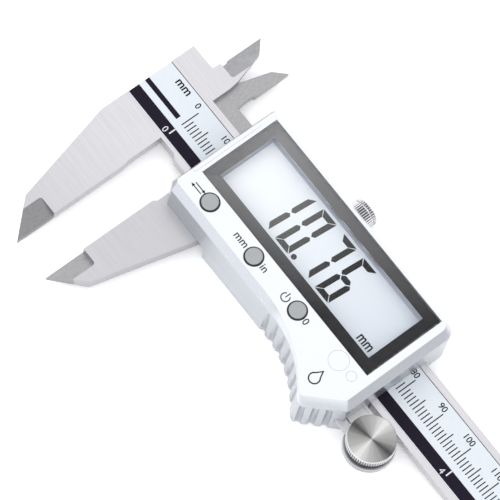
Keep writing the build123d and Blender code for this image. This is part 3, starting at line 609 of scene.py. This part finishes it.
# --- Scale printed on the beam's label -----------------------------------------------------
INK_GAP = 0.004  # how far ink stands off the face under it
LABEL_Z = -0.06 + INK_GAP
LABEL_ENDS = (-13.75, 225.8)
LABEL_HALF = 6.2
HAIRLINE = 0.15
BAND_TOP = -3.25  # top of the dark inch band
SHORT_BAND = (-1.85, -1.55, -0.3)  # right end, bottom and top of the band before the zero mark
RANGE_MM = 150
TICK_WIDE = 0.27
TICK_BASE = -1.45
TICK_TOPS = {"ten": 3.5, "five": 2.4, "one": 1.25}

marks = Print(LABEL_Z)
marks.bar(*LABEL_ENDS, LABEL_HALF, LABEL_HALF + HAIRLINE)
marks.bar(LABEL_ENDS[0], *SHORT_BAND)
for millimetre in range(RANGE_MM + 1):
    step = "ten" if millimetre % 10 == 0 else "five" if millimetre % 5 == 0 else "one"
    left, right = millimetre - TICK_WIDE / 2, millimetre + TICK_WIDE / 2
    marks.bar(left, right, TICK_BASE, TICK_TOPS[step])
marks.bar(*LABEL_ENDS, -LABEL_HALF, BAND_TOP)
marks.finish("scale_marks", label_ink, "beam", "label_print")

NUMBER_BASE = 3.7
NUMBER_TALL = 1.62
ZERO_BACK = 0.95  # how far a zero's or an inch number's right edge is before its mark
TEN_BACK = 0.15
for ten in range(0, RANGE_MM + 1, 10):
    edge = ten - (TEN_BACK if ten else ZERO_BACK)
    lettering(f"number_{ten}", str(ten), (0, NUMBER_BASE, NUMBER_TALL), LABEL_Z, label_ink,
              "beam", right=edge, bold=0.012)
lettering("unit_mark", "mm", (-9.3, 3.75, 1.5), LABEL_Z, label_ink, "beam",
          bold=0.02)

BAND_Z = LABEL_Z + 0.013  # just above the band's ink
INCH = 25.4
INCH_HALF = 0.17
inch_marks = Print(BAND_Z)
for inch in range(6):
    spot = inch * INCH
    inch_marks.bar(spot - INCH_HALF, spot + INCH_HALF, -5.1, -3.3)
    lettering(f"inch_{inch}", str(inch), (0, -5.9, 1.6), BAND_Z, label_white, "beam",
              right=spot - ZERO_BACK)
inch_marks.finish("inch_marks", label_white, "beam", "label_print")

# --- Display digits ------------------------------------------------------------------------
LCD_Z = 5.0 + INK_GAP
DIGIT_BASE = -2.75
DIGIT_TALL = 13.45
DIGIT_WIDE = 4.9
STROKE = 1.45
DIGIT_SLANT = 0.084
DIGIT_PITCH = 7.3
FIRST_DIGIT_X = 28.1
POINT = ((41.6, -2.05), 0.7)  # the decimal point's centre and radius
SEGMENT_GAP = 0.16
LIT = {"0": "abcdef", "1": "bc", "6": "acdefg", "7": "abc"}


def segment_points(letter):
    """One segment of a seven-segment digit, unslanted, from the digit's lower left corner."""
    w, h, s, g = DIGIT_WIDE, DIGIT_TALL, STROKE, SEGMENT_GAP
    mid = h / 2
    top = [(g, h), (s + g * 0.4, h - s), (w - s - g * 0.4, h - s), (w - g, h)]
    upper_right = [(w, h - g), (w - s, h - s - g * 0.4), (w - s, mid + s / 2 + g),
                   (w - s / 2, mid + g), (w, mid + s / 2)]
    middle = [(s / 2 + g, mid), (s + g, mid - s / 2), (w - s - g, mid - s / 2),
              (w - s / 2 - g, mid), (w - s - g, mid + s / 2), (s + g, mid + s / 2)]
    shapes = {
        "a": top,
        "b": upper_right,
        "c": [(x, h - y) for x, y in reversed(upper_right)],
        "d": [(x, h - y) for x, y in reversed(top)],
        "e": [(w - x, h - y) for x, y in upper_right],
        "f": [(w - x, y) for x, y in reversed(upper_right)],
        "g": middle,
    }
    return shapes[letter]


def turned_ccw(points):
    """The same polygon, listed counter-clockwise."""
    area = sum(a[0] * b[1] - b[0] * a[1] for a, b in zip(points, points[1:] + points[:1]))
    return points if area > 0 else points[::-1]


segments = Print(LCD_Z)
for place, digit in enumerate("1076"):
    start_x = FIRST_DIGIT_X + DIGIT_PITCH * place
    for letter in LIT[digit]:
        slanted = [(start_x + x + y * DIGIT_SLANT, DIGIT_BASE + y)
                   for x, y in segment_points(letter)]
        segments.polygon(turned_ccw(slanted))
segments.dot(*POINT)
segments.finish("display_segments", segment_ink, "slider", "display_glass")
lettering("display_unit", "mm", (65.05, -2.75, 1.8), LCD_Z, segment_ink, "slider",
          bold=0.02, wide=4.35)

# --- Legends beside the buttons ------------------------------------------------------------
FACE_Z = 9.0 + 0.002
BUTTON_X = (21.0, 37.1, 53.0)
BUTTON_Y = -10.6
legends = Print(FACE_Z)
# a double arrow for the measuring mode
ARROW_SHAFT = (15.3, 18.2)
ARROW_TIPS = {1: 18.8, -1: 14.7}
ARROW_APART = 0.42  # half the arrows' distance, and half a head's width
for flip, tip in ARROW_TIPS.items():
    y = BUTTON_Y + ARROW_APART * flip
    legends.bar(*ARROW_SHAFT, y - 0.13, y + 0.13)
    back = tip - 0.9 * flip
    head = [(tip, y), (back, y + ARROW_APART), (back, y - ARROW_APART)]
    legends.polygon(turned_ccw(head))
# a power symbol beside the zero button
POWER = (48.9, -10.8)
legends.arc(POWER, 1.05, 0.28, 125, 415)
legends.bar(POWER[0] - 0.14, POWER[0] + 0.14, POWER[1], POWER[1] + 1.5)
# a drop's outline where the lobe is widest
DROP = (67.7, -17.4)
legends.arc(DROP, 1.325, 0.35, -230, 50, steps=30)
for side in (-1, 1):
    wing = [(0.95 * side, 1.14), (0.0, 2.9), (0.0, 2.25), (0.72 * side, 0.88)]
    legends.polygon(turned_ccw([(DROP[0] + x, DROP[1] + y) for x, y in wing]))
legends.finish("button_legends", legend_ink, "slider", "case_satin")
LEGENDS = {
    "legend_mm": ("mm", (30.3, -11.25, 1.3)),
    "legend_in": ("in", (39.85, -11.3, 1.75)),
    "legend_zero": ("0", (55.6, -11.6, 1.8)),
}
for name, (words, box) in LEGENDS.items():
    lettering(name, words, box, FACE_Z, legend_ink, "slider", bold=0.012)

# the seals' black rubber lips round the buttons, printed wider to add painted shade in the gaps
# round the caps
LIP_R = 2.26
LIP_WIDE = 0.34
rims = Print(FACE_Z)
for x in BUTTON_X:
    rims.arc((x, BUTTON_Y), LIP_R, LIP_WIDE, 0, 360, steps=48)
rims.finish("button_seal_lips_and_shade", rubber, "slider", "seal_rubber")


# --- Turned and knurled pieces -------------------------------------------------------------
RIDGE_STEPS = 8
GROOVE_STEPS = (0, 1, 6, 7)  # the steps of a ridge that lie in its groove
FACE_RINGS = 4  # rings before the chamfer, which take the front's own finish
GROOVE_SLOT, FACE_SLOT = 1, 2  # material slots after the knurl's
LOCK = (41.4, -1.75)  # X and Z of the lock screw's axis


def turned(name, rings, ridges, depth, place, body, face=None):
    """A knurled body of revolution, given from the middle of its front down.

    rings are (radius, height, knurled), and place maps (across, up, height) to the row frame.
    Knurled rings carry that many ridges of that depth, with painted shade in the grooves between
    them. face is a material for the front, its middle and its first FACE_RINGS rings.
    """
    count = ridges * RIDGE_STEPS
    vertices = []
    for radius, height, knurled in rings:
        for step in range(count):
            angle = 2 * math.pi * step / count
            wave = abs(2 * ((step / RIDGE_STEPS) % 1.0) - 1)
            reach = radius - depth * wave if knurled else radius
            vertices.append(place(reach * math.cos(angle), reach * math.sin(angle), height))
    faces = []
    for ring in range(len(rings) - 1):
        for step in range(count):
            after = (step + 1) % count
            a, b = ring * count + step, ring * count + after
            faces.append([b, a, a + count, b + count])
    front = len(faces)
    faces.append(list(range(count)))
    faces.append([(len(rings) - 1) * count + step for step in reversed(range(count))])
    piece = make_piece(name, vertices, faces, knurl_steel, body)
    piece.data.materials.append(groove_shade_steel)
    piece.data.materials.append(face or knurl_steel)
    for number, polygon in enumerate(piece.data.polygons):
        ring, step = divmod(number, count)
        knurled = ring < len(rings) - 1 and rings[ring][2] and rings[ring + 1][2]
        if knurled and step % RIDGE_STEPS in GROOVE_STEPS:
            polygon.material_index = GROOVE_SLOT
        if ring < FACE_RINGS or number == front:
            polygon.material_index = FACE_SLOT
    return piece


def upright(across, up, height):
    """Place for a piece that turns on the roller's axis."""
    return at(ROLLER[0] + across, ROLLER[1] + up, height)


def sideways(across, up, height):
    """Place for a piece that turns on the lock screw's axis, with height along Y."""
    return at(LOCK[0] - across, height, LOCK[1] + up)


KNOB_TOP = 3.86
KNOB_R = 5.85
knob_rings = [
    (0.2, KNOB_TOP - 0.14, False), (0.5, KNOB_TOP - 0.1, False), (2.6, KNOB_TOP - 0.05, False),
    (5.4, KNOB_TOP, False), (5.58, KNOB_TOP - 0.02, False), (5.7, KNOB_TOP - 0.2, False),
    (KNOB_R, KNOB_TOP - 0.55, True), (KNOB_R, 1.55, True),
    (5.3, 1.25, False), (1.7, 1.25, False), (1.7, -0.7, False),
]
knob = turned("roller_knob_turned", knob_rings, 62, 0.3, upright, "thumb_roller", spun_steel_and_highlight)
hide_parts("roller_knob")

wheel_rings = [
    (1.8, -0.7, False), (3.0, -0.7, False), (4.5, -0.7, False), (5.7, -0.7, False),
    (6.0, -0.76, False), (6.25, -1.0, True), (6.25, -2.2, True), (6.0, -2.44, False),
    (5.7, -2.5, False), (1.95, -2.5, False),
]
wheel = turned("drive_wheel_turned", wheel_rings, 84, 0.25, upright, "thumb_roller", neck_steel)
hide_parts("drive_wheel")

lock_rings = [
    (0.5, 20.9, False), (1.2, 20.9, False), (2.6, 20.95, False), (2.85, 21.0, False),
    (3.05, 20.95, False), (3.3, 20.75, True), (3.5, 20.5, True), (3.5, 19.95, True),
    (3.15, 19.85, False), (3.15, 19.7, False), (3.5, 19.6, True), (3.5, 16.3, True),
    (3.1, 15.92, False), (1.25, 15.9, False), (1.25, 9.6, False),
]
lock_knob = turned("lock_knob_turned", lock_rings, 34, 0.36, sideways, "lock_screw")
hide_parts("lock_screw")

# --- Floor and light -----------------------------------------------------------------------
FLOOR_SIZE = 8.0
FLOOR_GAP = 0.0002  # metres below the caliper's back
floor_shader = Shader("studio_floor", (0.93, 0.93, 0.935), roughness=0.7,
                      Emission_Color=(1, 1, 1, 1), Emission_Strength=0.2)
floor_shader.set_color(floor_shader.shade(floor_shader.noise((0.01, 0.01, 0.01), 2.0), 0.004))
bpy.ops.mesh.primitive_plane_add(size=FLOOR_SIZE, location=(0, 0, -FLOOR_GAP))
floor = bpy.context.active_object
floor.name = "studio_floor"
floor.data.materials.append(floor_shader.material)

# the sky's tones from the horizon up, and its strength overhead
SKY_STOPS = [
    (0.0, (0.37, 0.38, 0.405)),
    (0.35, (0.54, 0.55, 0.575)),
    (0.7, (0.86, 0.865, 0.88)),
    (0.93, (1.0, 1.0, 1.0)),
]
ZENITH = 1.65
# two bright sides and two dark ones, as strip boxes beside the table give, of which the side
# by the inside jaws is the dimmer bright one
BRIGHT_SIDE = math.radians(102)
SIDE_CONTRAST = 0.25
SIDE_LEAN = 0.2

world = bpy.data.worlds.new("studio")
scene.world = world
world.use_nodes = True
sky = world.node_tree
background = sky.nodes["Background"]
direction = sky.nodes.new("ShaderNodeTexCoord").outputs["Generated"]


def sky_math(operation, first, second, third=None, kind="ShaderNodeMath"):
    """A maths node of the sky's tree on sockets or numbers."""
    made = sky.nodes.new(kind)
    made.operation = operation
    for slot, value in enumerate((first, second, third)):
        if isinstance(value, bpy.types.NodeSocket):
            sky.links.new(value, made.inputs[slot])
        elif value is not None:
            made.inputs[slot].default_value = value
    return made.outputs["Value"]


split = sky.nodes.new("ShaderNodeSeparateXYZ")
ramp = sky.nodes.new("ShaderNodeValToRGB")
fill_ramp(ramp, SKY_STOPS)
sky.links.new(direction, split.inputs[0])
sky.links.new(split.outputs[2], ramp.inputs[0])
sky.links.new(ramp.outputs[0], background.inputs["Color"])

cosine, sine = math.cos(BRIGHT_SIDE), math.sin(BRIGHT_SIDE)
along, across = (sky_math("DOT_PRODUCT", direction, aim, kind="ShaderNodeVectorMath")
                 for aim in ((cosine, sine, 0), (-sine, cosine, 0)))
contrast = sky_math("SUBTRACT", sky_math("POWER", along, 2.0), sky_math("POWER", across, 2.0))
gain = sky_math("MULTIPLY_ADD", contrast, SIDE_CONTRAST * ZENITH, ZENITH)
strength = sky_math("MULTIPLY_ADD", along, -SIDE_LEAN * ZENITH, gain)
sky.links.new(strength, background.inputs["Strength"])


def softbox(name, place, target, size, energy):
    """A large area light that looks at a datum point."""
    light = bpy.data.lights.new(name, "AREA")
    light.shape = "RECTANGLE"
    light.size, light.size_y = size
    light.energy = energy
    lamp = bpy.data.objects.new(name, light)
    scene.collection.objects.link(lamp)
    lamp.location = at(*place)
    lamp.rotation_mode = "QUATERNION"
    lamp.rotation_quaternion = (at(*target) - lamp.location).to_track_quat("-Z", "Y")


KEY_AT = (-450, -100, 650)
KEY_TARGET = (40, 0, 0)
KEY_SIZE = (0.5, 0.4)  # metres
KEY_WATTS = 0.5
softbox("key_light", KEY_AT, KEY_TARGET, KEY_SIZE, KEY_WATTS)
